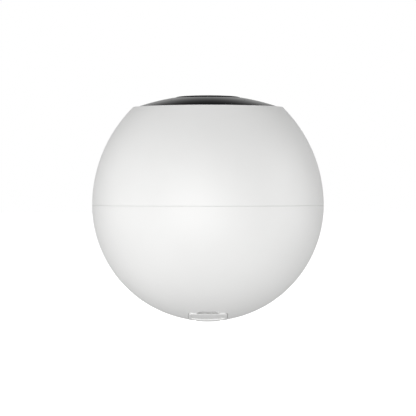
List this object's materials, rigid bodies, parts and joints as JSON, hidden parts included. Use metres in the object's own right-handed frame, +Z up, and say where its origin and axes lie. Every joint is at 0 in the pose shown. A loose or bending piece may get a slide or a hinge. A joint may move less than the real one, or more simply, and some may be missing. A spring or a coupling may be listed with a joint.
{
  "type": "smart speaker",
  "caption": "Ball-shaped table-top smart speaker: white shell in two halves, black dome floating in the crown opening with a push button, hinged flap over the charging port.",
  "frame": {"origin": "centre of the small foot flat that the ball stands on, which is the bottom centre of the bounding box", "axes": "+Z up through the crown; -Y is the front, the side with the port flap; X across"},
  "size_m": [0.1, 0.1, 0.0975],
  "materials": {
    "shell_white": "satin moulded",
    "dome_black": "polished",
    "button_black": "soft-touch coat",
    "black_plastic": "fine spark texture",
    "flap_white": "satin moulded",
    "foot_rubber": "moulded silicone",
    "seal_rubber": "matt",
    "diffuser": "frosted translucent",
    "steel": "zinc plated",
    "shield_tin": "tin plated sheet",
    "ferrite": "ground ferrite",
    "basket_paint": "black e-coat",
    "cone_paper": "pressed pulp",
    "spider_cloth": "resin-dipped cotton",
    "former_film": "polyimide film",
    "copper": "enamelled wire",
    "board": "solder mask",
    "led_white": "phosphor cap",
    "chip_black": "epoxy moulding",
    "connector": "nylon",
    "cell_wrap": "shrink sleeve",
    "brass": "turned and knurled",
    "lead_wire": "extruded sheath",
    "ribbon": "laminated flat cable"
  },
  "bodies": {
    "housing": {"upper_shell": "shell_white", "lower_shell": "shell_white", "seam_seal": "seal_rubber", "base_pad": "foot_rubber", "flap_hinge_pin": "steel", "dome_cover": "dome_black", "light_ring": "diffuser", "gap_mesh": "black_plastic", "dome_carrier": "black_plastic", "control_board": "board", "ring_leds": "led_white", "microphones": "shield_tin", "mic_gaskets": "seal_rubber", "tact_switch": "chip_black", "button_springs": "steel", "carrier_screws": "steel", "control_board_screws": "steel", "driver_basket": "basket_paint", "driver_gasket": "seal_rubber", "driver_top_plate": "steel", "driver_magnet": "ferrite", "driver_yoke": "steel", "driver_surround": "seal_rubber", "driver_spider": "spider_cloth", "driver_terminals": "chip_black", "driver_screws": "steel", "main_board": "board", "processor_shield": "shield_tin", "wifi_module": "shield_tin", "board_components": "chip_black", "board_connectors": "connector", "main_board_screws": "steel", "antenna": "board", "battery_cradle": "black_plastic", "battery_cells": "cell_wrap", "battery_tabs": "shield_tin", "battery_clamp": "steel", "battery_screws": "steel", "base_weight": "steel", "base_weight_screws": "steel", "port_board": "board", "usb_receptacle": "shield_tin", "port_board_screws": "steel", "tie_screws": "steel", "threaded_inserts": "brass", "driver_leads": "lead_wire", "battery_leads": "lead_wire", "control_ribbon": "ribbon", "port_ribbon": "ribbon"},
    "button": {"button_cap": "button_black", "switch_plunger": "connector"},
    "flap": {"port_flap": "flap_white", "flap_seal": "foot_rubber"},
    "cone": {"driver_cone": "cone_paper", "dust_cap": "cone_paper", "coil_former": "former_film", "coil_winding": "copper"}
  },
  "joints": [
    {"name": "button_press", "type": "slide", "parent": "housing", "child": "button", "axis": [0, 0, -1], "range_m": [0, 0.00035], "stiffness_N_per_m": 900, "springref_m": -0.0012, "deforming": ["button_springs"]},
    {"name": "flap_hinge", "type": "hinge", "parent": "housing", "child": "flap", "pos_m": [0, -0.00688, 0.00174], "axis": [1, 0, 0], "range_deg": [0, 90]},
    {"name": "cone_stroke", "type": "slide", "parent": "housing", "child": "cone", "axis": [0, 0, 1], "range_m": [-0.0015, 0.0015], "stiffness_N_per_m": 1500, "deforming": ["driver_surround", "driver_spider"]}
  ]
}
